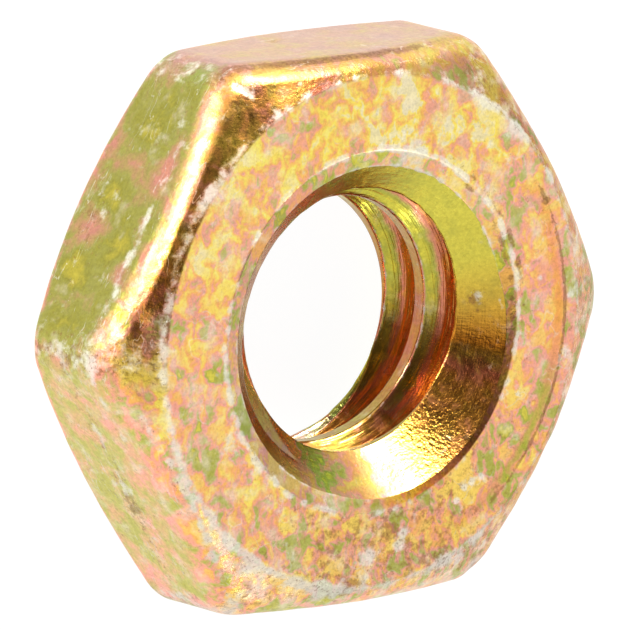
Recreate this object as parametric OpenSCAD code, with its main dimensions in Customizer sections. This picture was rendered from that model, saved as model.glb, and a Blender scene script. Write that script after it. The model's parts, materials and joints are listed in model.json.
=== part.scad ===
// Thin hex nut with a 1/4-20 unified coarse thread and a yellow zinc finish.
// The nut lies on its bottom bearing face. Z is the thread axis, and the origin is the centre of that face.
// The thread is drawn as separate ring grooves at the true pitch, so that its crests are true cylinders.

/* [Hexagon] */
// Width between two opposite wrench flats
across_flats = 11.11; // [10.8:0.01:12]
// Height between the two bearing faces
thickness = 3.56; // [3.3:0.01:6]
// Radius of the rounded corner between two wrench flats
corner_r = 0.92; // [0.3:0.01:1.2]

/* [Corner chamfers] */
// Diameter of the flat face that the chamfer leaves
face_d = 10.26; // [9.4:0.01:10.7]
// Angle between the chamfer and the face, in degrees
chamfer_angle = 30; // [15:1:35]

/* [Countersinks] */
// Diameter of the top countersink at the face
top_csk_d = 7.26; // [6.9:0.01:8]
// Diameter of the bottom countersink at the face
bottom_csk_d = 6.84; // [6.7:0.01:8]
// Included angle of both countersinks, in degrees
csk_angle = 100; // [90:1:120]
// Width of the shallow lip around each countersink, measured along the radius
lip_w = 0.33; // [0.1:0.01:0.5]
// Depth of that lip below the face
lip_depth = 0.1; // [0.04:0.01:0.2]

/* [Thread] */
// Minor diameter, across the crests
minor_d = 5.04; // [4.98:0.01:5.26]
// Major diameter, across the roots
major_d = 6.35; // [6.35:0.01:6.5]
// Distance from one groove to the next
pitch = 1.27; // [1.2:0.01:1.3]
// Included angle between the two flanks of a groove, in degrees
flank_angle = 60; // [55:1:60]

/* [Hidden] */
$fn = 96;

zinc_gold = [0.82, 0.68, 0.42];

// Overlap that carries a cutting shape clear of the surface it cuts
eps = 0.2;
corner_count = 6;
// Chords in the arc of one rounded corner
arc_steps = 8;
half_corner_angle = 180 / corner_count;
corner_centre_r = (across_flats / 2 - corner_r) / cos(half_corner_angle);

face_r = face_d / 2;
minor_r = minor_d / 2;
major_r = major_d / 2;

// The chamfer cones run on past the corners, so that their edges lie in open air
chamfer_reach_r = across_flats / 2 / cos(half_corner_angle) + eps;
chamfer_drop = (chamfer_reach_r - face_r) * tan(chamfer_angle);

// Heights at which the countersinks end and the threaded wall begins
function csk_depth(csk_d) = lip_depth + (csk_d / 2 - lip_w - minor_r) / tan(csk_angle / 2);
thread_top_z = thickness - csk_depth(top_csk_d);
thread_bottom_z = csk_depth(bottom_csk_d);
thread_length = thread_top_z - thread_bottom_z;

// A groove has a flat root an eighth of the pitch wide
root_half_w = pitch / 16;
groove_half_w = root_half_w + (major_r - minor_r) * tan(flank_angle / 2);
groove_count = floor((thread_length - 2 * groove_half_w) / pitch) + 1;
first_groove_z = (thread_top_z + thread_bottom_z) / 2 - (groove_count - 1) * pitch / 2;

// Points of the rounded hexagon, corner by corner, each corner as an arc of arc_steps chords
outline = [
    for (corner = [0 : corner_count - 1], step = [0 : arc_steps])
        let (
            corner_angle = corner * 2 * half_corner_angle,
            arc_angle = corner_angle + (2 * step / arc_steps - 1) * half_corner_angle
        )
        [
            corner_centre_r * cos(corner_angle) + corner_r * cos(arc_angle),
            corner_centre_r * sin(corner_angle) + corner_r * sin(arc_angle)
        ]
];

// Solid that keeps the two faces round and chamfers all six corners
module double_chamfer() {
    rotate_extrude()
        polygon([
            [0, 0],
            [face_r, 0],
            [chamfer_reach_r, chamfer_drop],
            [chamfer_reach_r, thickness - chamfer_drop],
            [face_r, thickness],
            [0, thickness]
        ]);
}

// One ring groove around the wall of the hole, centred on z = 0
module groove() {
    flank_slope = tan(flank_angle / 2);
    inner_r = minor_r - eps;
    inner_half_w = groove_half_w + eps * flank_slope;
    rotate_extrude()
        polygon([
            [inner_r, -inner_half_w],
            [major_r, -root_half_w],
            [major_r, root_half_w],
            [inner_r, inner_half_w]
        ]);
}

// Countersink with its lip, opening towards +Z from the face at z = 0
module countersink(csk_d) {
    outer_r = csk_d / 2;
    cone_r = outer_r - lip_w;
    depth = csk_depth(csk_d);
    rotate_extrude()
        polygon([
            [0, -depth],
            [minor_r, -depth],
            [cone_r, -lip_depth],
            [outer_r, 0],
            [outer_r, eps],
            [0, eps]
        ]);
}

module hole() {
    translate([0, 0, -eps])
        cylinder(r = minor_r, h = thickness + 2 * eps);
    for (index = [0 : groove_count - 1])
        translate([0, 0, first_groove_z + index * pitch])
            groove();
    translate([0, 0, thickness])
        countersink(top_csk_d);
    mirror([0, 0, 1])
        countersink(bottom_csk_d);
}

module nut_body() {
    color(zinc_gold)
        difference() {
            intersection() {
                linear_extrude(thickness)
                    polygon(outline);
                double_chamfer();
            }
            hole();
        }
}

nut_body();
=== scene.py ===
"""Thin hex nut in worn yellow zinc, lying on its bottom face.

Lengths are in millimetres and angles in degrees.
"""

import json
import math

import bpy
import numpy as np
from mathutils import Matrix, Vector, noise


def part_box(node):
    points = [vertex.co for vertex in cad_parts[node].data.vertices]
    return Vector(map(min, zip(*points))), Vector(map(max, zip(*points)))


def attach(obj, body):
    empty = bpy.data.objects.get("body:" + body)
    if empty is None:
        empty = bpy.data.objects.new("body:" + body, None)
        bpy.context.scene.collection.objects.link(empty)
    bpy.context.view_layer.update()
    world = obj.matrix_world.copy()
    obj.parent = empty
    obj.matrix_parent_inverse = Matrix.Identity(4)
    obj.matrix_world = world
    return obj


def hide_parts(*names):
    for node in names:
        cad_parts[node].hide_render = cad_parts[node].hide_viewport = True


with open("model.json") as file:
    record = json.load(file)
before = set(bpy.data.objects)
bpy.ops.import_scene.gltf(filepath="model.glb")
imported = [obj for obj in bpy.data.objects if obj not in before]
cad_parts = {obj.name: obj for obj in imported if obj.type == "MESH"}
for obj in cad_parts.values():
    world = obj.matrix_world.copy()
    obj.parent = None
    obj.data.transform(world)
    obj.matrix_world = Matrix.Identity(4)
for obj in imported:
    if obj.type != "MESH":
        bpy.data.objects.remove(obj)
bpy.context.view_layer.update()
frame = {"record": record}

MM = 0.001

# ---------------------------------------------------------------------------------------------- sizes

low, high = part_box("nut_body")
WIDTH = (high[1] - low[1]) / MM
HEIGHT = (high[2] - low[2]) / MM
# Rounding of the hexagon's corners, the circle where a chamfer meets its face, and the chamfer's slope
CORNER_R = 0.92
FACE_R = 5.13
CHAMFER_SLOPE = math.tan(math.radians(30))
# The countersinks: their rims, the lip that steps down inside each rim, and the slope of the cone below it
TOP_CSK_R = 3.63
BOTTOM_CSK_R = 3.42
LIP_W = 0.33
LIP_DEPTH = 0.1
CONE_SLOPE = math.tan(math.radians(50))
# The thread: radii of its crests and of the bottom of its groove, the slope of its flanks, half the width of the
# groove's bottom, and the height of the middle of one turn of the groove where it crosses angle 0
MINOR_R = next(m["dims"]["r_mm"] for m in frame["record"]["mounts"] if m["name"] == "thread")
MAJOR_R = 3.2
PITCH = 1.27
FLANK_SLOPE = math.tan(math.radians(30))
ROOT_HALF_W = 0.098
GROOVE_HEIGHT = 2.419
# The shallow round score on the right of the top face: its radius, and the middle and half-width of its arc
SCORE_R = 4.83
SCORE_ARC = (-9, 44)

# ----------------------------------------------------------------------------------------------- mesh

COLUMNS = 336
# How far the columns are drawn towards the six corners, from 0, evenly spaced, to 1
CORNER_PULL = 0.5


def column_angles():
    """Angles of the columns, in radians, closer together at the corners."""
    even = np.arange(COLUMNS) / COLUMNS * 2 * np.pi
    return even - CORNER_PULL / 6 * np.sin(6 * even)


def from_corner(angle):
    """Angle to the nearest of the six corners, in degrees, from 0 to 30."""
    return np.abs((angle + 30) % 60 - 30)


def ring_window(angle, middle, half_width):
    """1 at an angle and falling smoothly to 0 at half_width either side."""
    off = np.abs((angle - middle + 180) % 360 - 180)
    return np.clip(1 - (off / half_width) ** 2, 0, 1) ** 2


def window(value, middle, half_width):
    """1 at a value and falling smoothly to 0 at half_width either side."""
    return np.clip(1 - ((value - middle) / half_width) ** 2, 0, 1) ** 2


def hexagon_radius(angle):
    """Distance from the axis to the side of the rounded hexagon."""
    off = np.radians(from_corner(angle))
    sector = np.pi / 3
    centre_r = (WIDTH / 2 - CORNER_R) / math.cos(sector / 2)
    arc_ends = math.atan2(CORNER_R * math.sin(sector / 2), centre_r + CORNER_R * math.cos(sector / 2))
    on_flat = WIDTH / 2 / np.cos(sector / 2 - off)
    under_root = np.maximum(CORNER_R**2 - (centre_r * np.sin(off)) ** 2, 0)
    on_arc = centre_r * np.cos(off) + np.sqrt(under_root)
    return np.where(off < arc_ends, on_arc, on_flat)


def cone_depth(csk_r):
    """Depth below the face at which a countersink reaches the threaded wall."""
    return LIP_DEPTH + (csk_r - LIP_W - MINOR_R) / CONE_SLOPE


# The nut's cross-section is a closed loop of corners joined by straight runs. Each entry is a corner's name,
# its rounding radius, the rows in its rounding, and the rows in the straight run from it to the next corner.
SECTION = [
    ("top_rim", 0.10, 4, 35),
    ("top_shoulder", 0.13, 4, 14),
    ("top_edge", 0.58, 16, 30),
    ("bottom_edge", 0.40, 10, 10),
    ("bottom_shoulder", 0.13, 3, 20),
    ("bottom_rim", 0.05, 3, 4),
    ("bottom_lip", 0.06, 3, 13),
    ("bottom_mouth", 0.03, 3, 78),
    ("top_mouth", 0.02, 3, 27),
    ("top_lip", 0.05, 4, 8),
]
# The run that starts at each of those corners
RUNS = [
    "top_face", "top_chamfer", "flat", "bottom_chamfer", "bottom_face",
    "bottom_bevel", "bottom_cone", "thread", "top_cone", "top_bevel",
]
# How much larger the rounding of the top edge is at the corners than half-way along the flats
EDGE_GROWTH = 0.3


def section_corners(angle):
    """The corners of SECTION as (radius, height) at each angle."""
    side_r = hexagon_radius(angle)
    drop = (side_r - FACE_R) * CHAMFER_SLOPE
    same = np.ones_like(side_r)
    # The top edge of the flat at 150 is hammered down a little
    beaten = ring_window(angle, 152, 36) ** 0.5
    # The lip of the top countersink is worn away over part of its rim, so that the cone almost reaches the face
    worn = ring_window(angle, -45, 60) ** 0.5
    return [
        (TOP_CSK_R * same, HEIGHT * same),
        (FACE_R - 0.06 * beaten, HEIGHT * same),
        (side_r, HEIGHT - drop - 0.14 * beaten),
        (side_r, drop),
        (FACE_R * same, 0 * same),
        (BOTTOM_CSK_R * same, 0 * same),
        ((BOTTOM_CSK_R - LIP_W) * same, LIP_DEPTH * same),
        (MINOR_R * same, cone_depth(BOTTOM_CSK_R) * same),
        (MINOR_R * same, (HEIGHT - cone_depth(TOP_CSK_R)) * same),
        (TOP_CSK_R - LIP_W * (1 - 0.62 * worn), HEIGHT - LIP_DEPTH * (1 - 0.55 * worn)),
    ]


def rounded_section(angle):
    """Rows of (radius, height) for every column, and for each row the weight of each of RUNS."""
    corners = [np.stack(c, -1) for c in section_corners(angle)]
    count = len(corners)
    growth = (EDGE_GROWTH * (1 - from_corner(angle) / 30))[:, None]
    arcs = []
    for i, (name, radius, rows, _) in enumerate(SECTION):
        if name == "top_edge":
            radius = radius + growth
        here, before, after = corners[i], corners[i - 1], corners[(i + 1) % count]
        back = (before - here) / np.linalg.norm(before - here, axis=1, keepdims=True)
        ahead = (after - here) / np.linalg.norm(after - here, axis=1, keepdims=True)
        half_turn = np.arccos(np.clip((back * ahead).sum(1), -1, 1))[:, None] / 2
        middle = (back + ahead) / np.linalg.norm(back + ahead, axis=1, keepdims=True)
        centre = here + middle * radius / np.sin(half_turn)
        reach = radius / np.tan(half_turn)
        start, end = here + back * reach - centre, here + ahead * reach - centre
        sweep = np.pi - 2 * half_turn
        arc = []
        for t in np.linspace(0, 1, rows):
            arc.append(centre + (np.sin((1 - t) * sweep) * start + np.sin(t * sweep) * end) / np.sin(sweep))
        arcs.append(arc)
    rows, weights = [], []
    for i, (_, _, arc_rows, run_rows) in enumerate(SECTION):
        for t, point in zip(np.linspace(0, 1, arc_rows), arcs[i]):
            weight = np.zeros(len(RUNS))
            weight[i - 1] += 1 - t
            weight[i] += t
            rows.append(point)
            weights.append(weight)
        start, end = arcs[i][-1], arcs[(i + 1) % count][0]
        for t in np.linspace(0, 1, run_rows + 2)[1:-1]:
            weight = np.zeros(len(RUNS))
            weight[i] = 1
            rows.append(start * (1 - t) + end * t)
            weights.append(weight)
    return np.array(rows), np.array(weights)


def groove_distance(angle, height):
    """Distance along the axis from the nearest turn of the right-hand groove, and the height of that turn."""
    turns = (height - GROOVE_HEIGHT) / PITCH - angle / 360
    distance = (turns - np.round(turns)) * PITCH
    return np.abs(distance), height - distance


def thread_radius(angle, height):
    """Distance from the axis to the threaded wall, with its crest edges a little rounded."""
    distance, turn_height = groove_distance(angle, height)
    # The groove gets shallower as it runs out: its share of the full depth at a face, and the gain per millimetre
    at_face, gain = 0.45, 0.6
    from_face = np.minimum(turn_height, HEIGHT - turn_height)
    depth = (MAJOR_R - MINOR_R) * np.clip(at_face + gain * from_face, 0, 1)
    wall = MINOR_R + depth - np.maximum(distance - ROOT_HALF_W, 0) / FLANK_SLOPE
    softness = 0.012
    return MINOR_R + softness * np.logaddexp(0, (wall - MINOR_R) / softness)


def groove_depth(radius):
    """Depth in the thread groove, from 0 at its crests to 1 at its bottom."""
    return np.clip((radius - MINOR_R) / (MAJOR_R - MINOR_R), 0, 1)


def wave(place, size, seed):
    """Smooth noise from -1 to 1 at every place, with hills about size across."""
    shift = Vector((seed * 7.31, seed * 3.17, seed * 5.77))
    levels = [noise.noise(Vector(point) / size + shift) for point in place.reshape(-1, 3)]
    return np.array(levels).reshape(place.shape[:-1])


def build_surface():
    """Every vertex's place, run weights and polar coordinates, row by row."""
    angles = np.degrees(column_angles())
    section, weights = rounded_section(angles)
    radius, height = section[..., 0].copy(), section[..., 1].copy()
    angle = np.broadcast_to(angles, radius.shape)
    inner = weights[:, [RUNS.index(n) for n in ("bottom_cone", "thread", "top_cone")]].sum(1) > 0.5
    cut = thread_radius(angle[inner], height[inner])
    radius[inner] = np.maximum(radius[inner], cut)
    turn = np.radians(angle)
    place = np.stack([radius * np.cos(turn), radius * np.sin(turn), height], -1)
    return place, weights, angle, radius, height


def surface_normals(place):
    """Outward normals of the grid of vertices, which closes on itself both ways."""
    next_row = np.roll(place, -1, 0) - np.roll(place, 1, 0)
    next_column = np.roll(place, -1, 1) - np.roll(place, 1, 1)
    normal = np.cross(next_row, next_column)
    return normal / np.maximum(np.linalg.norm(normal, axis=-1, keepdims=True), 1e-12)


def spot(place, angle, far, up, size):
    """1 at a place on the nut, given by its angle, distance from the axis and height, and fading over size."""
    turn = math.radians(angle)
    centre = np.array([far * math.cos(turn), far * math.sin(turn), up])
    gap = np.linalg.norm(place - centre, axis=-1)
    return np.exp(-((gap / size * 1.5) ** 2))


# Knocks and lumps: (angle, distance from the axis, height, size, depth), with a negative depth for a lump
DENTS = [
    (-33, 5.60, 3.20, 0.34, 0.09),
    (120, 6.05, 3.02, 0.09, 0.025),
    (120, 5.96, 3.12, 0.09, 0.03),
    (119.5, 5.86, 3.20, 0.09, 0.03),
    (119, 5.76, 3.26, 0.09, 0.02),
    (97, 5.55, 1.10, 0.22, 0.06),
    (-81, 4.47, 3.56, 0.20, 0.035),
    (-88, 4.62, 3.56, 0.16, 0.03),
    (-57, 4.12, 3.56, 0.12, 0.03),
    (-53, 4.20, 3.56, 0.12, 0.03),
    (-49, 4.26, 3.56, 0.12, 0.025),
    (33, 4.90, 3.56, 0.22, 0.04),
    (50, 4.55, 3.56, 0.18, 0.03),
    (-126, 5.30, 3.42, 0.26, 0.05),
    (-114, 5.36, 3.40, 0.22, 0.05),
    (172, 5.60, 3.25, 0.26, 0.04),
    (205, 5.65, 2.90, 0.22, 0.04),
    (14, 6.10, 2.90, 0.26, 0.05),
    (60, 5.95, 3.00, 0.24, 0.04),
    (-60, 6.05, 3.00, 0.30, 0.05),
    (-5, 5.40, 3.35, 0.24, 0.03),
    (7, 3.02, 3.22, 0.14, -0.016),
    (3, 2.90, 3.12, 0.13, -0.012),
]


def relief(place, weights, angle, radius):
    """How far each vertex sits below the ideal surface."""
    share = {name: weights[:, [i]] for i, name in enumerate(RUNS)}
    outside = share["top_face"] + share["top_chamfer"] + share["flat"]
    outside = outside + share["bottom_chamfer"] + share["bottom_face"]
    slow, quick = wave(place, 1.6, 1), wave(place, 0.42, 2)
    depth = outside * (0.010 * (1 + slow) + 0.006 * (1 + quick))
    # The upper left edge is hammered into small lumps towards the corner at 180
    edge = 4 * share["top_chamfer"] * share["flat"]
    lumps = 1 + wave(place, 0.13, 3)
    depth = depth + edge * lumps * (0.006 + 0.022 * ring_window(angle, 164, 28))
    for *where, deep in DENTS:
        depth = depth + deep * spot(place, *where)
    score = window(radius, SCORE_R, 0.06) * ring_window(angle, *SCORE_ARC) ** 0.25 * share["top_face"]
    return depth + 0.012 * score


def make_mesh(place, normal, depth):
    """The grid of vertices pushed in by depth, as one closed mesh of quads."""
    rows, columns = depth.shape
    vertices = ((place - normal * depth[..., None]) * MM).reshape(-1, 3)
    row, column = np.meshgrid(np.arange(rows), np.arange(columns), indexing="ij")
    next_row, next_column = (row + 1) % rows, (column + 1) % columns
    faces = np.stack(
        [
            row * columns + column,
            next_row * columns + column,
            next_row * columns + next_column,
            row * columns + next_column,
        ],
        -1,
    ).reshape(-1, 4)
    mesh = bpy.data.meshes.new("nut")
    mesh.from_pydata(vertices.tolist(), [], faces.tolist())
    mesh.validate()
    mesh.shade_smooth()
    return mesh


def srgb(*levels):
    """A colour given in screen levels, 0 to 255, as the linear values that the shader works in."""
    levels = np.array(levels) / 255
    return np.where(levels <= 0.04045, levels / 12.92, ((levels + 0.055) / 1.055) ** 2.4)


# ---------------------------------------------------------------------------------------------- paint

# The zinc's film, around each run: (angle, red, green, blue, tone, spread, pale, rubbed, brown). The three
# colours tint the film, and where marked below they also darken it as painted shade. Tone picks its colour
# from FILM_COLOURS, and spread is how far the mottling moves it.
# Pale, rubbed and brown are the shares of the surface that are bleached, worn to grey metal and stained.
TOP_FACE = [
    (-165, 1.06, 1.00, 1.06, 0.48, 0.8, 0.30, 0.18, 0.12),
    (-135, 0.99, 0.97, 1.00, 0.40, 0.8, 0.32, 0.22, 0.16),
    (-105, 0.95, 0.93, 0.94, 0.44, 1.0, 0.26, 0.20, 0.38),
    (-75, 0.94, 0.88, 0.94, 0.46, 1.0, 0.20, 0.20, 0.44),
    (-45, 1.00, 0.96, 0.96, 0.45, 1.0, 0.20, 0.18, 0.28),
    (-15, 1.02, 0.98, 1.06, 0.48, 0.7, 0.22, 0.16, 0.20),
    (15, 1.04, 1.00, 1.10, 0.48, 0.62, 0.26, 0.18, 0.20),
    (45, 1.00, 1.00, 1.00, 0.34, 0.9, 0.30, 0.22, 0.14),
    (75, 1.00, 1.00, 0.95, 0.22, 0.8, 0.28, 0.20, 0.10),
    (105, 1.00, 1.00, 0.92, 0.32, 0.8, 0.20, 0.16, 0.10),
    (135, 1.03, 1.06, 1.06, 0.34, 0.8, 0.32, 0.20, 0.10),
    (165, 1.03, 1.00, 1.04, 0.41, 0.8, 0.30, 0.18, 0.10),
]
TOP_CHAMFER = [
    (-165, 1.04, 1.10, 1.05, 0.38, 0.9, 0.34, 0.18, 0.20),
    (-135, 0.98, 0.96, 0.82, 0.42, 0.9, 0.30, 0.22, 0.24),
    (-105, 1.00, 0.96, 0.98, 0.54, 0.9, 0.42, 0.26, 0.34),
    (-75, 0.97, 0.98, 1.00, 0.52, 0.9, 0.44, 0.28, 0.34),
    (-45, 0.68, 0.54, 0.36, 0.50, 0.9, 0.30, 0.18, 0.34),
    (-15, 0.78, 0.62, 0.42, 0.50, 0.9, 0.32, 0.18, 0.28),
    (15, 0.66, 0.62, 0.48, 0.48, 0.9, 0.28, 0.20, 0.32),
    (45, 0.54, 0.47, 0.35, 0.44, 0.8, 0.22, 0.20, 0.34),
    (75, 0.70, 0.76, 0.60, 0.36, 0.5, 0.20, 0.16, 0.26),
    # At 105 the dark copper tint is the film's copper colour and also painted shade, which dims the highlight
    # there
    (105, 0.50, 0.32, 0.30, 0.34, 0.4, 0.10, 0.10, 0.30),
    (135, 0.94, 0.84, 0.62, 0.36, 0.4, 0.08, 0.12, 0.36),
    (165, 0.84, 0.58, 0.37, 0.38, 0.5, 0.10, 0.14, 0.40),
]
FLAT = [
    (-150, 1.16, 1.06, 1.12, 0.73, 0.16, 0.26, 0.18, 0.20),
    (-90, 0.92, 0.92, 0.90, 0.66, 0.4, 0.45, 0.20, 0.20),
    (-30, 0.90, 0.92, 0.86, 0.68, 0.4, 0.40, 0.20, 0.18),
    (30, 0.90, 0.88, 0.86, 0.62, 0.4, 0.50, 0.20, 0.16),
    (90, 0.70, 0.95, 1.10, 0.49, 0.1, 0.00, 0.08, 0.00),
    (150, 0.74, 0.68, 0.66, 0.82, 0.17, 0.10, 0.14, 0.20),
]
# Painted shade: the dark tints at -165 and -135, where the near wall is seen at a grazing angle, and the lowered
# one at -45, which dims the key lamp's reflection
TOP_CONE = [
    (-165, 0.43, 0.52, 0.46, 0.30, 0.3, 0.05, 0.00, 0.10),
    (-135, 0.36, 0.46, 0.50, 0.30, 0.3, 0.05, 0.00, 0.15),
    (-108, 0.54, 0.74, 0.50, 0.74, 0.8, 0.05, 0.00, 0.15),
    (-82, 0.92, 0.72, 1.00, 0.04, 0.2, 0.05, 0.00, 0.10),
    (-62, 0.94, 0.80, 0.60, 0.20, 0.2, 0.00, 0.00, 0.15),
    (-45, 0.66, 0.54, 0.36, 0.38, 0.2, 0.00, 0.02, 0.30),
    (-28, 0.78, 0.60, 0.36, 0.38, 0.2, 0.00, 0.02, 0.30),
    (-12, 0.94, 0.36, 0.27, 1.00, 0.1, 0.00, 0.02, 0.30),
    (6, 1.00, 0.72, 0.70, 1.00, 0.12, 0.00, 0.00, 0.10),
    (22, 1.00, 0.94, 0.95, 1.00, 0.10, 0.00, 0.00, 0.05),
    (60, 1.00, 0.98, 1.00, 0.99, 0.04, 0.00, 0.00, 0.05),
    (90, 0.98, 0.98, 1.00, 0.88, 0.2, 0.05, 0.00, 0.05),
    (110, 1.00, 1.40, 1.50, 0.66, 0.2, 0.05, 0.00, 0.05),
    (135, 0.84, 0.98, 0.80, 0.60, 0.3, 0.05, 0.00, 0.10),
]
TOP_BEVEL = [
    (-165, 0.82, 0.92, 1.00, 0.52, 0.8, 0.25, 0.18, 0.20),
    (-135, 0.56, 0.58, 0.76, 0.48, 0.8, 0.20, 0.18, 0.25),
    (-100, 0.90, 0.90, 0.85, 0.52, 0.9, 0.30, 0.20, 0.20),
    (-70, 0.76, 0.52, 0.24, 0.38, 0.7, 0.10, 0.16, 0.30),
    # Painted shade: the near black tint at -45 darkens the bevel where it catches the highlight
    (-45, 0.16, 0.10, 0.09, 0.38, 0.5, 0.00, 0.12, 0.35),
    (-12, 0.64, 0.52, 0.42, 0.42, 0.7, 0.05, 0.18, 0.35),
    (15, 1.00, 1.00, 0.80, 0.66, 1.2, 0.25, 0.20, 0.20),
    (50, 1.00, 1.00, 0.95, 0.42, 1.1, 0.40, 0.26, 0.10),
    (80, 1.00, 1.00, 0.95, 0.52, 1.1, 0.40, 0.28, 0.08),
    (105, 0.96, 0.96, 0.85, 0.72, 0.8, 0.20, 0.20, 0.08),
    (135, 0.90, 0.84, 0.90, 0.66, 0.9, 0.20, 0.18, 0.12),
]
# The threaded wall at its crest, just inside the groove, and at the bottom of the groove
CREST = [
    (-60, 0.50, 0.54, 0.50, 0.24, 0.2, 0.10, 0.10, 0.10),
    (-20, 0.58, 0.44, 0.40, 0.46, 0.2, 0.10, 0.10, 0.15),
    (60, 0.50, 0.52, 0.60, 0.22, 0.2, 0.10, 0.15, 0.05),
]
FLANK = [
    (-75, 0.90, 0.86, 0.60, 0.24, 0.3, 0.05, 0.00, 0.15),
    (-52, 0.62, 0.44, 0.32, 0.60, 0.3, 0.05, 0.00, 0.20),
    (-35, 0.84, 0.48, 0.38, 0.86, 0.2, 0.05, 0.00, 0.20),
    (-12, 0.98, 0.70, 0.60, 0.90, 0.2, 0.05, 0.00, 0.15),
    (10, 0.98, 0.92, 0.80, 0.95, 0.2, 0.05, 0.00, 0.10),
    (70, 1.00, 1.00, 0.90, 0.98, 0.1, 0.05, 0.00, 0.05),
]
ROOT = [
    (-60, 0.62, 0.42, 0.32, 0.38, 0.2, 0.00, 0.00, 0.20),
    (-10, 0.66, 0.46, 0.38, 0.38, 0.2, 0.00, 0.00, 0.20),
    (40, 0.74, 0.58, 0.46, 0.38, 0.2, 0.00, 0.00, 0.25),
]


def around(ring, angle):
    """Values of a ring at each angle, blended between its entries."""
    stops = sorted(ring)
    first, last = stops[0], stops[-1]
    stops = [(last[0] - 360, *last[1:]), *stops, (first[0] + 360, *first[1:])]
    turned = (angle + 180) % 360 - 180
    angles = [stop[0] for stop in stops]
    columns = zip(*[stop[1:] for stop in stops])
    return np.stack([np.interp(turned, angles, column) for column in columns], -1)


def stepped(ring, soft):
    """A ring whose entries each hold over their own flat of the hexagon, and change over the corners."""
    return [(stop[0] + side * (30 - soft), *stop[1:]) for stop in ring for side in (-1, 1)]


# How worn the shoulder and the rim of the countersink are: (angle, shoulder, rim)
WORN_EDGES = [
    (-165, 0.42, 0.26),
    (-135, 0.42, 0.24),
    (-105, 0.30, 0.24),
    (-75, 0.24, 0.20),
    (-45, 0.16, 0.08),
    (-15, 0.12, 0.16),
    (15, 0.20, 0.34),
    (45, 0.42, 0.38),
    (75, 0.24, 0.30),
    (105, 0.28, 0.22),
    (135, 0.36, 0.20),
    (165, 0.42, 0.22),
]

# Local changes: (angle, distance from the axis, height, size, amount)
TONE_SPOTS = [
    (109, 4.65, 3.56, 0.45, 0.25),
    (94, 4.56, 3.56, 0.50, -0.14),
    (77, 4.66, 3.56, 0.45, -0.14),
    (61, 4.39, 3.56, 0.50, -0.14),
    (48, 4.88, 3.56, 0.35, 0.20),
    (27, 4.65, 3.56, 0.30, 0.16),
    (11, 4.28, 3.56, 0.45, 0.16),
    (2, 3.92, 3.56, 0.35, 0.10),
    (-35, 4.18, 3.56, 0.30, 0.40),
    (-28, 4.32, 3.56, 0.25, 0.35),
    (-41, 4.53, 3.56, 0.40, 0.14),
    (-92, 4.20, 3.56, 0.25, 0.30),
    (-107, 4.46, 3.56, 0.25, 0.35),
    (-157, 4.78, 3.56, 0.40, 0.16),
    (-177, 4.77, 3.56, 0.25, 0.20),
    (-174, 4.08, 3.56, 0.20, 0.35),
    (172, 4.55, 3.56, 0.40, -0.10),
    (146, 4.56, 3.56, 0.45, -0.12),
    (128, 4.30, 3.56, 0.40, 0.10),
    (154, 5.57, 1.10, 0.80, -0.13),
    (140, 5.60, 2.40, 0.40, -0.20),
    (152, 5.57, 2.45, 0.45, -0.20),
    (163, 5.65, 2.35, 0.40, -0.16),
    (133, 5.80, 0.40, 0.50, -0.16),
    (166, 5.70, 0.50, 0.40, -0.12),
    (10, 4.40, 3.56, 0.50, 0.10),
    (-12, 4.25, 3.56, 0.45, 0.10),
    (-165, 4.75, 3.56, 0.40, 0.12),
    (-120, 4.80, 3.56, 0.45, 0.14),
    (-66, 4.60, 3.56, 0.40, -0.16),
    (-52, 4.95, 3.56, 0.35, 0.20),
    (-75, 4.05, 3.56, 0.35, 0.22),
    (36, 4.30, 3.56, 0.35, 0.18),
    (172, 5.90, 2.55, 0.45, -0.20),
    (-150, 5.60, 0.60, 1.00, 0.08),
    (-138, 5.70, 0.60, 0.80, 0.08),
    (-162, 5.70, 0.60, 0.80, 0.08),
    (-160, 4.45, 3.56, 0.35, 0.12),
    (-150, 4.85, 3.56, 0.30, 0.10),
    (-155, 5.60, 2.70, 0.60, -0.10),
    (-140, 5.70, 2.75, 0.60, -0.10),
]
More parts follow.
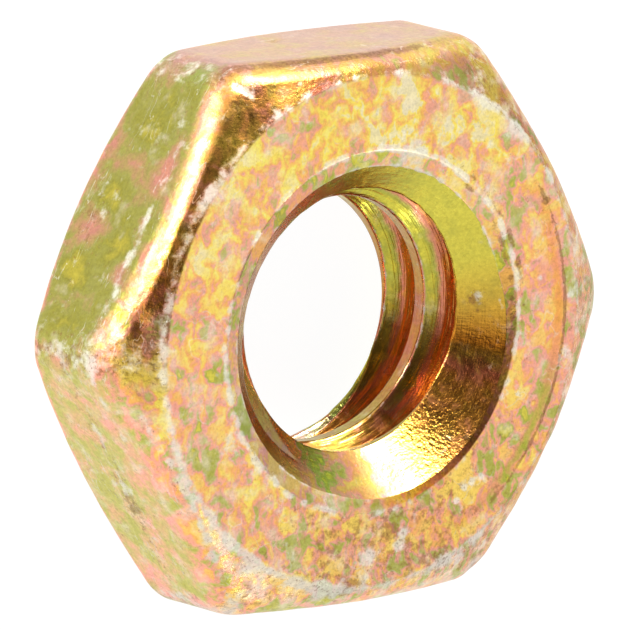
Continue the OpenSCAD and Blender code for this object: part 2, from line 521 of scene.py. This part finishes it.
RUBS = [
    (-152, 4.04, 3.56, 0.42, 0.34),
    (-141, 3.85, 3.56, 0.25, 0.25),
    (-138, 4.23, 3.56, 0.25, 0.20),
    (74, 3.74, 3.56, 0.42, 0.34),
    (84, 3.80, 3.56, 0.30, 0.26),
    (67, 4.30, 3.56, 0.30, 0.15),
    (140, 4.98, 3.56, 0.36, 0.34),
    (57, 5.08, 3.54, 0.42, 0.34),
    (46, 5.10, 3.54, 0.36, 0.30),
    (-81, 4.47, 3.56, 0.24, 0.90),
    (-90, 4.60, 3.56, 0.25, 0.60),
    (-92, 4.95, 3.56, 0.40, 0.26),
    (-124, 5.26, 3.50, 0.42, 0.32),
    (-133, 5.22, 3.52, 0.36, 0.30),
    (-112, 5.25, 3.46, 0.36, 0.26),
    (-56, 4.16, 3.56, 0.14, 0.80),
    (-53, 4.20, 3.56, 0.12, 0.80),
    (-50, 4.26, 3.56, 0.12, 0.80),
    (-60, 4.24, 3.56, 0.16, 0.80),
    (-70, 5.20, 3.54, 0.28, 0.50),
    (-79, 4.24, 3.56, 0.18, 0.80),
    (-105, 5.12, 3.56, 0.35, 0.50),
    (-25, 4.05, 3.56, 0.12, 0.70),
    (8, 4.25, 3.56, 0.12, 0.70),
    (18, 4.50, 3.56, 0.12, 0.70),
    (2, 4.98, 3.56, 0.16, 0.60),
    (-11, 4.98, 3.56, 0.20, 0.60),
    (42, 4.62, 3.56, 0.22, 0.36),
    (50, 4.56, 3.56, 0.20, 0.36),
    (-19, 5.30, 3.44, 0.40, 0.24),
    (-4, 5.34, 3.42, 0.36, 0.20),
    (12, 5.34, 3.42, 0.40, 0.20),
    (-38, 5.36, 3.42, 0.40, 0.24),
    (-66, 5.36, 3.42, 0.45, 0.26),
    (-100, 5.34, 3.42, 0.50, 0.24),
    (-154, 5.34, 3.40, 0.40, 0.20),
    (178, 5.70, 3.20, 0.40, 0.08),
    (120, 6.02, 3.05, 0.12, 0.80),
    (119.5, 5.88, 3.16, 0.12, 0.80),
    (119, 5.74, 3.26, 0.12, 0.60),
    (72, 5.65, 2.90, 0.40, 0.30),
    (6, 2.94, 3.18, 0.24, 0.55),
    (150, 5.56, 1.25, 0.60, 0.22),
    (-148, 5.56, 1.60, 0.60, 0.20),
]
STAINS = [
    (27, 4.85, 3.56, 0.22, 0.50),
    (30, 4.45, 3.56, 0.20, 0.30),
    (-97, 5.15, 3.52, 0.40, 0.30),
    (-70, 5.20, 3.50, 0.40, 0.30),
    (-84, 4.10, 3.56, 0.45, 0.20),
    (5, 2.88, 3.13, 0.26, 0.60),
    (155, 5.57, 1.00, 0.80, 0.20),
    (-145, 5.57, 1.70, 0.60, 0.20),
]


def coat_values(weights, angle, radius):
    """The eight values of the coat at each vertex, and each run's share of the vertex."""
    share = {name: weights[:, [i]] * np.ones_like(radius) for i, name in enumerate(RUNS)}
    # The photograph doesn't show the underside, so it takes the top's coat, mirrored and turned
    under = 35 - angle
    # The crests' coat ends just inside the groove, and the bottom's takes over from the flanks' further down
    groove = groove_depth(radius)
    on_land = np.clip(1 - groove * 14, 0, 1)[..., None]
    in_root = np.clip((groove - 0.28) / 0.34, 0, 1)[..., None]
    wall = around(FLANK, angle) * (1 - in_root) + around(ROOT, angle) * in_root
    wall = around(CREST, angle) * on_land + wall * (1 - on_land)
    runs = {
        "top_face": around(TOP_FACE, angle),
        "top_chamfer": around(TOP_CHAMFER, angle),
        "flat": around(stepped(FLAT, 5), angle),
        "bottom_chamfer": around(TOP_CHAMFER, under),
        "bottom_face": around(TOP_FACE, under),
        "bottom_bevel": around(TOP_BEVEL, under),
        "bottom_cone": around(TOP_CONE, under),
        "thread": wall,
        "top_cone": around(TOP_CONE, angle),
        "top_bevel": around(TOP_BEVEL, angle),
    }
    return sum(share[name][..., None] * values for name, values in runs.items()), share


def paint(place, weights, angle, radius, height):
    """What the material reads at each vertex."""
    coat, share = coat_values(weights, angle, radius)
    tint, (tone, spread, pale, rubbed, brown) = coat[..., :3], np.moveaxis(coat[..., 3:], -1, 0)
    face = share["top_face"] + share["bottom_face"]
    chamfer = share["top_chamfer"] + share["bottom_chamfer"]
    cone = share["top_cone"] + share["bottom_cone"]
    bevel = share["top_bevel"] + share["bottom_bevel"]
    wall, flat = share["thread"], share["flat"]
    corner = np.clip(1 - from_corner(angle) / 6, 0, 1) * (flat + 0.5 * chamfer)

    # Slow changes of colour, most of all on the flat at 150, and then the marks placed one by one
    drift = wave(place, 0.9, 4)
    flat_drift = 0.06 + 0.22 * ring_window(angle, 150, 40)
    tone = tone + flat_drift * drift * flat + 0.12 * drift * face
    tone = tone + sum(amount * spot(place, *where) for *where, amount in TONE_SPOTS)
    rubbed = rubbed + sum(amount * spot(place, *where) for *where, amount in RUBS)
    brown = brown + sum(amount * spot(place, *where) for *where, amount in STAINS)

    # The burnished band inside the round score, which turns green at its lower end
    band = window(radius, 4.69, 0.19) ** 0.5 * ring_window(angle, -17, 53) ** 0.3 * share["top_face"]
    green_end = ring_window(angle, -38, 38) ** 0.7
    smooth = 0.9 * band
    tone = tone * (1 - smooth) + smooth * (0.36 + 0.46 * green_end)
    spread = spread * (1 - smooth)
    rubbed = rubbed * (1 - smooth)
    pale = pale * (1 - smooth)
    dimmed = np.stack([0.06 + 0.02 * green_end, 0.18 - 0.14 * green_end, 0.40 + 0.12 * green_end], axis=-1)
    tint = tint * (1 - smooth[..., None] * dimmed)
    # Painted shade: brown along the round score, the thin shadow in its shallow groove
    score = window(radius, SCORE_R + 0.01, 0.05) * ring_window(angle, *SCORE_ARC) ** 0.25 * share["top_face"]
    brown = brown + 0.7 * score

    # Grey lines along the worn edges, broken into crumbs at the countersink, with brown beside them on the right
    worn_shoulder, worn_rim = np.moveaxis(around(WORN_EDGES, angle), -1, 0)
    crumbs = np.clip(0.75 + 1.3 * wave(place, 0.2, 5), 0, 1.5)
    worn_rim = worn_rim * crumbs
    rubbed = rubbed + worn_shoulder * window(radius, FACE_R + 0.03, 0.16) * (face + chamfer)
    rubbed = rubbed + 1.9 * worn_rim * window(radius, TOP_CSK_R + 0.03, 0.13) * (face + bevel)
    rubbed = rubbed + 1.4 * worn_rim * window(radius, TOP_CSK_R - LIP_W, 0.07) * (cone + bevel)
    right = ring_window(angle, 25, 55)
    brown = brown + 0.7 * window(radius, TOP_CSK_R + 0.13, 0.10) * right * (1.2 - crumbs) * face
    brown = brown + 0.6 * window(radius, TOP_CSK_R - 0.10, 0.10) * right * (1.2 - crumbs) * bevel
    # A grey line under the top edge of the flat at 150
    rubbed = rubbed + 0.36 * window(height, HEIGHT - 1.0, 0.22) * ring_window(angle, 165, 50) * flat
    # The crusty line half-way down the flat at -150, and the one along its chamfer
    crust = ring_window(angle, -150, 34) ** 0.5 * crumbs
    inset = radius * np.cos(np.radians(angle + 150))
    on_flat = 0.30 * window(height, 1.75, 0.30) * flat
    on_chamfer = 0.55 * window(inset, 5.30, 0.10) * chamfer
    rubbed = rubbed + crust * (on_flat + on_chamfer)
    brown = brown + 0.26 * crust * window(height, 1.65, 0.35) * flat
    # The hexagon's corners, and the edges of the thread's crests
    rubbed = rubbed + 0.30 * corner
    brown = brown + 0.25 * corner
    rubbed = rubbed + 0.45 * window(groove_depth(radius), 0.04, 0.04) * wall
    # Painted dark reflection: a red-brown line on the rear flat's top edge, where its rounding mirrors dark
    # surroundings
    steep = np.clip(1 - np.abs(flat - 0.72) / 0.28, 0, 1) * share["top_chamfer"]
    brown = brown + 4 * steep * ring_window(angle, 95, 36)

    # Each kind of surface with its roughness and the strengths of its grain and its scratches
    matt, smoother, sparkling = (ring_window(angle, *arc) for arc in ((-164, 26), (130, 75), (-45, 38)))
    finish = [
        (face, 0.42, 0.5, 0.4),
        (chamfer, 0.24 + 0.3 * matt, 0.7 - 0.5 * smoother, 0.45),
        (flat, 0.36, 0.35, 0.6),
        (cone, 0.24, 0.25 + 0.65 * sparkling, 0),
        (bevel, 0.32, 0.5 + 0.4 * sparkling, 0),
        (wall, 0.22, 0.12, 0),
    ]
    rough, grain, streak = (sum(row[0] * row[column] for row in finish) for column in (1, 2, 3))
    # The edges between the chamfers and the flats are a little rougher
    rough = rough + 0.12 * 4 * chamfer * flat

    # The turning lines: the place across the surface that they follow, and their strength
    distance, _ = groove_distance(angle, height)
    across = (radius + height) * (1 - wall) + wall * (distance + np.minimum(radius, MINOR_R + 0.02))
    turning = wall * 0.9 + cone * 0.15 + band * 0.5
    ripple = cone * ring_window(angle, -5, 16)
    # The material reads three values at a time, and the last of "lines" isn't used
    return {
        "film_tint_and_shade": tint,
        "tone": np.stack([tone, spread, pale], -1),
        "wear_and_shade": np.stack([rubbed, brown, streak], -1),
        "finish": np.stack([rough, grain, ripple], -1),
        "lines": np.stack([across, turning, np.zeros_like(turning)], -1),
    }


def store(mesh, name, values):
    """Keep three values at each vertex, for the material to read."""
    layer = mesh.attributes.new(name, "FLOAT_VECTOR", "POINT")
    layer.data.foreach_set("vector", values.reshape(-1).astype(np.float32))


# ------------------------------------------------------------------------------------------- material


class Graph:
    """A short way to write a material's nodes."""

    def __init__(self, name):
        self.material = bpy.data.materials.new(name)
        self.material.use_nodes = True
        self.tree = self.material.node_tree
        self.shader = self.tree.nodes["Principled BSDF"]
        coordinates = self.tree.nodes.new("ShaderNodeTexCoord")
        self.point = self.vector("SCALE", coordinates.outputs["Object"], scale=1 / MM)
        swirl = self.node_with("ShaderNodeTexNoise", self.point)
        swirl.inputs["Scale"].default_value = 2.2
        swirl.inputs["Detail"].default_value = 2
        swirl = self.vector("ADD", swirl.outputs["Color"], (-0.5, -0.5, -0.5))
        self.swirled = self.vector("ADD", self.point, self.vector("SCALE", swirl, scale=0.55))

    def node(self, kind, **settings):
        node = self.tree.nodes.new(kind)
        for key, value in settings.items():
            setattr(node, key, value)
        return node

    def feed(self, socket, value):
        if isinstance(value, bpy.types.NodeSocket):
            self.tree.links.new(value, socket)
        elif hasattr(value, "__len__") and len(value) == 3 and socket.type == "RGBA":
            socket.default_value = (*value, 1)
        else:
            socket.default_value = value

    def math(self, operation, first, second=0.0, third=0.0):
        node = self.node("ShaderNodeMath", operation=operation)
        for socket, value in zip(node.inputs, (first, second, third)):
            self.feed(socket, value)
        return node.outputs[0]

    def vector(self, operation, first, second=None, scale=None):
        node = self.node("ShaderNodeVectorMath", operation=operation)
        self.feed(node.inputs[0], first)
        if second is not None:
            self.feed(node.inputs[1], second)
        if scale is not None:
            self.feed(node.inputs["Scale"], scale)
        return node.outputs[0]

    def attribute(self, name):
        node = self.node("ShaderNodeAttribute", attribute_name=name)
        return node.outputs["Vector"]

    def split(self, vector):
        return self.node_with("ShaderNodeSeparateXYZ", vector).outputs

    def node_with(self, kind, value):
        node = self.node(kind)
        self.feed(node.inputs[0], value)
        return node

    def noise(self, size, detail, roughness, seed, stretch=(1, 1, 1), swirled=False):
        """Noise from 0 to 1 with features about size millimetres across."""
        place = self.vector("MULTIPLY", self.swirled if swirled else self.point, stretch)
        place = self.vector("ADD", place, (seed * 13.7, seed * 5.1, seed * 9.3))
        return self.noise_at(place, detail, roughness, 0.5 / size)

    def noise_at(self, place, detail, roughness, scale=1):
        """Noise from 0 to 1 at a place that the caller has worked out."""
        node = self.node("ShaderNodeTexNoise")
        self.feed(node.inputs["Vector"], place)
        node.inputs["Scale"].default_value = scale
        node.inputs["Detail"].default_value = detail
        node.inputs["Roughness"].default_value = roughness
        return node.outputs["Fac"]

    def combine(self, x, y, z):
        node = self.node("ShaderNodeCombineXYZ")
        for socket, value in zip(node.inputs, (x, y, z)):
            self.feed(socket, value)
        return node.outputs[0]

    def ramp(self, value, stops):
        """Colour picked by a value from 0 to 1."""
        node = self.node_with("ShaderNodeValToRGB", value)
        elements = node.color_ramp.elements
        while len(elements) < len(stops):
            elements.new(0.5)
        for element, (position, colour) in zip(elements, stops):
            element.position = position
            element.color = (*colour, 1)
        return node.outputs["Color"]

    def hairline(self, value, half_width):
        """Thin lines where the value crosses 0.5."""
        off = self.math("ABSOLUTE", self.math("ADD", value, -0.5))
        return self.over(off, 0, half_width, below=1, above=0)

    def over(self, value, start, end, below=0, above=1):
        """One level below start and another above end, with a smooth step between."""
        node = self.node("ShaderNodeMapRange", interpolation_type="SMOOTHSTEP")
        self.feed(node.inputs["Value"], value)
        self.feed(node.inputs["From Min"], start)
        self.feed(node.inputs["From Max"], end)
        node.inputs["To Min"].default_value = below
        node.inputs["To Max"].default_value = above
        return node.outputs[0]

    def patch(self, amount, noise, softness):
        """Coverage of a patch: none where amount is 0, about half where it is 0.5, and all where it is 1."""
        start = self.math("MULTIPLY_ADD", amount, -0.62, 0.81 - softness)
        end = self.math("ADD", start, 2 * softness)
        return self.over(noise, start, end)

    def mix(self, under, top, amount):
        node = self.node("ShaderNodeMix", data_type="RGBA")
        sockets = {s.identifier: s for s in node.inputs}
        self.feed(sockets["Factor_Float"], amount)
        self.feed(sockets["A_Color"], under)
        self.feed(sockets["B_Color"], top)
        return next(s for s in node.outputs if s.identifier == "Result_Color")


# The film's colours as it gets thicker: (tone, screen colour)
FILM_COLOURS = [
    (0.00, (244, 230, 184)),
    (0.13, (254, 228, 104)),
    (0.28, (250, 206, 112)),
    (0.40, (249, 188, 106)),
    (0.50, (248, 176, 140)),
    (0.60, (238, 170, 148)),
    (0.69, (216, 182, 124)),
    (0.79, (188, 190, 98)),
    (0.89, (180, 180, 78)),
    (1.00, (214, 206, 82)),
]
# Screen colours of what lies over the film
BLEACHED = (242, 228, 200)
STAIN_AND_SHADE = (150, 104, 64)
BARE_METAL = (220, 218, 206)
SPECK = (130, 92, 60)
CRACK = (136, 88, 52)


def zinc_material():
    g = Graph("yellow_zinc")
    tone, spread, pale = g.split(g.attribute("tone"))[:3]
    rubbed, brown, streak = g.split(g.attribute("wear_and_shade"))[:3]
    rough, grain, ripple = g.split(g.attribute("finish"))[:3]
    across, turning, _ = g.split(g.attribute("lines"))[:3]
    tint = g.attribute("film_tint_and_shade")

    # The film: patches of colour from its thickness
    broad = g.noise(0.34, 2.5, 0.5, seed=1, swirled=True)
    middle = g.noise(0.14, 2, 0.5, seed=2, stretch=(1.3, 0.8, 1), swirled=True)
    fine = g.noise(0.05, 4, 0.6, seed=3)
    dust = g.noise(0.028, 3, 0.6, seed=14)
    mottle = g.math("MULTIPLY_ADD", broad, 2.7, g.math("MULTIPLY_ADD", middle, 1.9, -2.3))
    mottle = g.math("MULTIPLY_ADD", fine, 0.1, g.math("ADD", mottle, -0.05))
    # The mottling moves the tone up or down by these amounts at most
    most_up, most_down = 0.38, -0.24
    change = g.math("MINIMUM", g.math("MULTIPLY", mottle, spread), most_up)
    thickness = g.math("ADD", tone, g.math("MAXIMUM", change, most_down))
    colour = g.ramp(thickness, [(stop, srgb(*levels)) for stop, levels in FILM_COLOURS])
    # The tint: the film's own colour, darkened at the angles marked in the tables as painted shade
    colour = g.vector("MULTIPLY", colour, tint)

    bleached = g.patch(pale, g.noise(0.22, 3, 0.55, seed=5), 0.2)
    colour = g.mix(colour, srgb(*BLEACHED), g.math("MULTIPLY", bleached, 0.7))
    # Brown: real stains, and also the painted shade along the round score and the painted dark reflection on the
    # rear flat's top edge
    stain_and_shade = g.patch(brown, g.noise(0.09, 5, 0.65, seed=4), 0.08)
    colour = g.mix(colour, srgb(*STAIN_AND_SHADE), g.math("MULTIPLY", stain_and_shade, 0.6))

    # Wear: soft grey rubs, scratches and flakes
    worn_noise = g.noise(0.16, 5, 0.6, seed=6)
    worn = g.patch(rubbed, worn_noise, 0.13)
    scratches = g.hairline(g.noise(0.8, 3, 0.5, seed=11, stretch=(1, 1, 5)), 0.008)
    gate = g.over(g.noise(0.5, 4, 0.6, seed=12), 0.48, 0.56)
    scratches = g.math("MULTIPLY", g.math("MULTIPLY", scratches, gate), streak)
    flakes = g.patch(g.math("MULTIPLY", rubbed, 0.4), dust, 0.06)
    marks = g.math("MAXIMUM", g.math("MULTIPLY", worn, 0.85), flakes)
    marks = g.math("MAXIMUM", marks, scratches)
    colour = g.mix(colour, srgb(*BARE_METAL), g.math("MULTIPLY", marks, 0.85))
    specks = g.math("ADD", g.math("MULTIPLY", rubbed, 0.2), g.math("MULTIPLY", brown, 0.45))
    specks = g.patch(specks, g.noise(0.035, 3, 0.6, seed=15), 0.05)
    colour = g.mix(colour, srgb(*SPECK), g.math("MULTIPLY", specks, 0.55))

    cracks = g.hairline(g.noise(0.3, 5, 0.65, seed=13), 0.006)
    cracks = g.math("MULTIPLY", cracks, g.over(g.math("ADD", brown, worn_noise), 0.62, 0.84))
    colour = g.mix(colour, srgb(*CRACK), g.math("MULTIPLY", cracks, 0.6))
    shade = g.math("MULTIPLY_ADD", fine, 0.45, g.math("MULTIPLY_ADD", dust, 0.5, 0.53))
    colour = g.vector("SCALE", colour, scale=shade)
    g.feed(g.shader.inputs["Base Color"], colour)
    g.feed(g.shader.inputs["Metallic"], g.math("MULTIPLY_ADD", marks, -0.5, 1.0))

    rough = g.math("MULTIPLY_ADD", marks, 0.15, rough)
    rough = g.math("MULTIPLY_ADD", middle, 0.3, g.math("ADD", rough, -0.15))
    g.feed(g.shader.inputs["Roughness"], rough)

    # Turning lines run round the nut, and ripples run down the countersink
    unit = g.vector("NORMALIZE", g.vector("MULTIPLY", g.point, (1, 1, 0)))

    def lines(round_scale, across_scale):
        """Noise that changes at one rate round the nut and at another across it."""
        turned = g.vector("SCALE", unit, scale=round_scale)
        shifted = g.combine(0, 0, g.math("MULTIPLY", across, across_scale))
        return g.noise_at(g.vector("ADD", turned, shifted), 2, 0.5)

    lathe = lines(2.5, 22)
    ripples = g.math("MULTIPLY", lines(60, 1.6), g.math("MULTIPLY", ripple, 0.2))
    broad_bumps = g.math("MULTIPLY", g.noise(0.16, 3, 0.5, seed=10), 0.35)
    height = g.math("MULTIPLY_ADD", g.noise(0.04, 3, 0.55, seed=9), 0.95, broad_bumps)
    height = g.math("MULTIPLY", height, grain)
    height = g.math("MULTIPLY_ADD", lathe, turning, height)
    height = g.math("ADD", height, ripples)
    bump = g.node("ShaderNodeBump")
    bump_height = 0.02
    bump.inputs["Distance"].default_value = bump_height * MM
    g.feed(bump.inputs["Height"], height)
    g.feed(g.shader.inputs["Normal"], bump.outputs[0])
    return g.material


def make_nut():
    place, weights, angle, radius, height = build_surface()
    depth = relief(place, weights, angle, radius)
    mesh = make_mesh(place, surface_normals(place), depth)
    for name, values in paint(place, weights, angle, radius, height).items():
        store(mesh, name, values)
    mesh.materials.append(zinc_material())
    nut = bpy.data.objects.new("nut", mesh)
    bpy.context.collection.objects.link(nut)
    return nut


nut = make_nut()
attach(nut, "root")
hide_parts("nut_body")

# ---------------------------------------------------------------------------------------------- stage

# How far the card and the lamps are from the nut, in metres
STAGE_DISTANCE = 0.25


def camera_axes(yaw, pitch, roll):
    """Right, up and back vectors of a camera that looks at the top face, with +Y up in the picture.

    yaw turns the camera towards -X, pitch towards +Y, and roll tips the picture anticlockwise."""
    yaw, pitch, roll = math.radians(yaw), math.radians(pitch), math.radians(roll)
    back = Vector((-math.sin(yaw) * math.cos(pitch), math.sin(pitch), math.cos(yaw) * math.cos(pitch)))
    right = Vector((0, 1, 0)).cross(back).normalized()
    up = back.cross(right)
    return (
        right * math.cos(roll) + up * math.sin(roll),
        up * math.cos(roll) - right * math.sin(roll),
        back,
    )


def make_camera():
    right, up, back = camera_axes(yaw=37.72, pitch=11.47, roll=0.28)
    distance = 30 * WIDTH
    # How far the picture's middle is from the top face's middle, in widths across flats
    to_left, to_top = 0.1039, 0.030
    aim = Vector((0, 0, HEIGHT)) - right * to_left * WIDTH + up * to_top * WIDTH
    camera = bpy.data.objects.new("camera", bpy.data.cameras.new("camera"))
    bpy.context.collection.objects.link(camera)
    axes = Matrix((right, up, back)).transposed().to_4x4()
    camera.matrix_world = Matrix.Translation((aim + back * distance) * MM) @ axes
    camera.data.sensor_width = 36
    # The width across flats fills this share of the picture's width
    fill = 0.894
    camera.data.lens = camera.data.sensor_width * distance / WIDTH * fill
    camera.data.clip_start = 0.01
    camera.data.clip_end = 10
    bpy.context.scene.camera = camera


def emission_material(name, colour, strength):
    material = bpy.data.materials.new(name)
    material.use_nodes = True
    tree = material.node_tree
    tree.nodes.clear()
    glow = tree.nodes.new("ShaderNodeEmission")
    glow.inputs["Color"].default_value = (*colour, 1)
    glow.inputs["Strength"].default_value = strength
    out = tree.nodes.new("ShaderNodeOutputMaterial")
    tree.links.new(glow.outputs[0], out.inputs[0])
    return material


def make_floor():
    material = bpy.data.materials.new("floor")
    material.use_nodes = True
    shader = material.node_tree.nodes["Principled BSDF"]
    shader.inputs["Base Color"].default_value = (0.1, 0.1, 0.1, 1)
    shader.inputs["Roughness"].default_value = 0.9
    shader.inputs["Emission Color"].default_value = (1, 1, 1, 1)
    shader.inputs["Emission Strength"].default_value = 0.95
    mesh = bpy.data.meshes.new("floor")
    half = 3.0
    # Just under the nut, so that the two surfaces never share a plane
    level = -2e-5
    corners = [(half * x, half * y, level) for x, y in ((-1, -1), (1, -1), (1, 1), (-1, 1))]
    mesh.from_pydata(corners, [], [(0, 1, 2, 3)])
    mesh.materials.append(material)
    floor = bpy.data.objects.new("floor", mesh)
    bpy.context.collection.objects.link(floor)


def hang(name, data, direction):
    """Put a card or a lamp on the stage, where it faces the nut."""
    back = Vector(direction).normalized()
    thing = bpy.data.objects.new(name, data)
    thing.location = back * STAGE_DISTANCE
    thing.rotation_mode = "QUATERNION"
    thing.rotation_quaternion = back.to_track_quat("Z", "Y")
    bpy.context.collection.objects.link(thing)
    return thing


def make_card(name, direction, half_angle, material):
    """A round card, unseen by the camera and seen in reflections. half_angle is its radius seen from the nut."""
    radius = STAGE_DISTANCE * math.tan(math.radians(half_angle))
    mesh = bpy.data.meshes.new(name)
    steps = 48
    turns = [2 * math.pi * i / steps for i in range(steps)]
    points = [(radius * math.cos(turn), radius * math.sin(turn), 0) for turn in turns]
    mesh.from_pydata(points, [], [tuple(range(steps))])
    mesh.materials.append(material)
    card = hang(name, mesh, direction)
    card.visible_camera = False


def make_lamp(name, direction, half_angle, radiance):
    """A round lamp. half_angle is its radius seen from the nut."""
    size = STAGE_DISTANCE * 2 * math.tan(math.radians(half_angle))
    data = bpy.data.lights.new(name, "AREA")
    data.shape = "DISK"
    data.size = size
    # An area light's radiance is its power over its area and pi
    data.energy = radiance * math.pi * math.pi * (size / 2) ** 2
    hang(name, data, direction)


def make_world():
    world = bpy.data.worlds.new("studio")
    bpy.context.scene.world = world
    world.use_nodes = True
    back = world.node_tree.nodes["Background"]
    back.inputs["Color"].default_value = (1, 1, 1, 1)
    back.inputs["Strength"].default_value = 0.95


make_world()
make_floor()
make_camera()
make_card("camera_shade", (-0.20, 0.30, 0.93), 32, emission_material("dark_card", (1.0, 0.8, 0.6), 0.09))
make_lamp("key_lamp", (0.22, 0.84, 0.49), 10, 30)
make_lamp("edge_lamp", (-0.775, 0.60, 0.20), 11, 26)
make_lamp("thread_lamp", (0.107, -0.807, 0.579), 3, 8)

scene = bpy.context.scene
scene.view_settings.view_transform = "Standard"
scene.view_settings.look = "None"
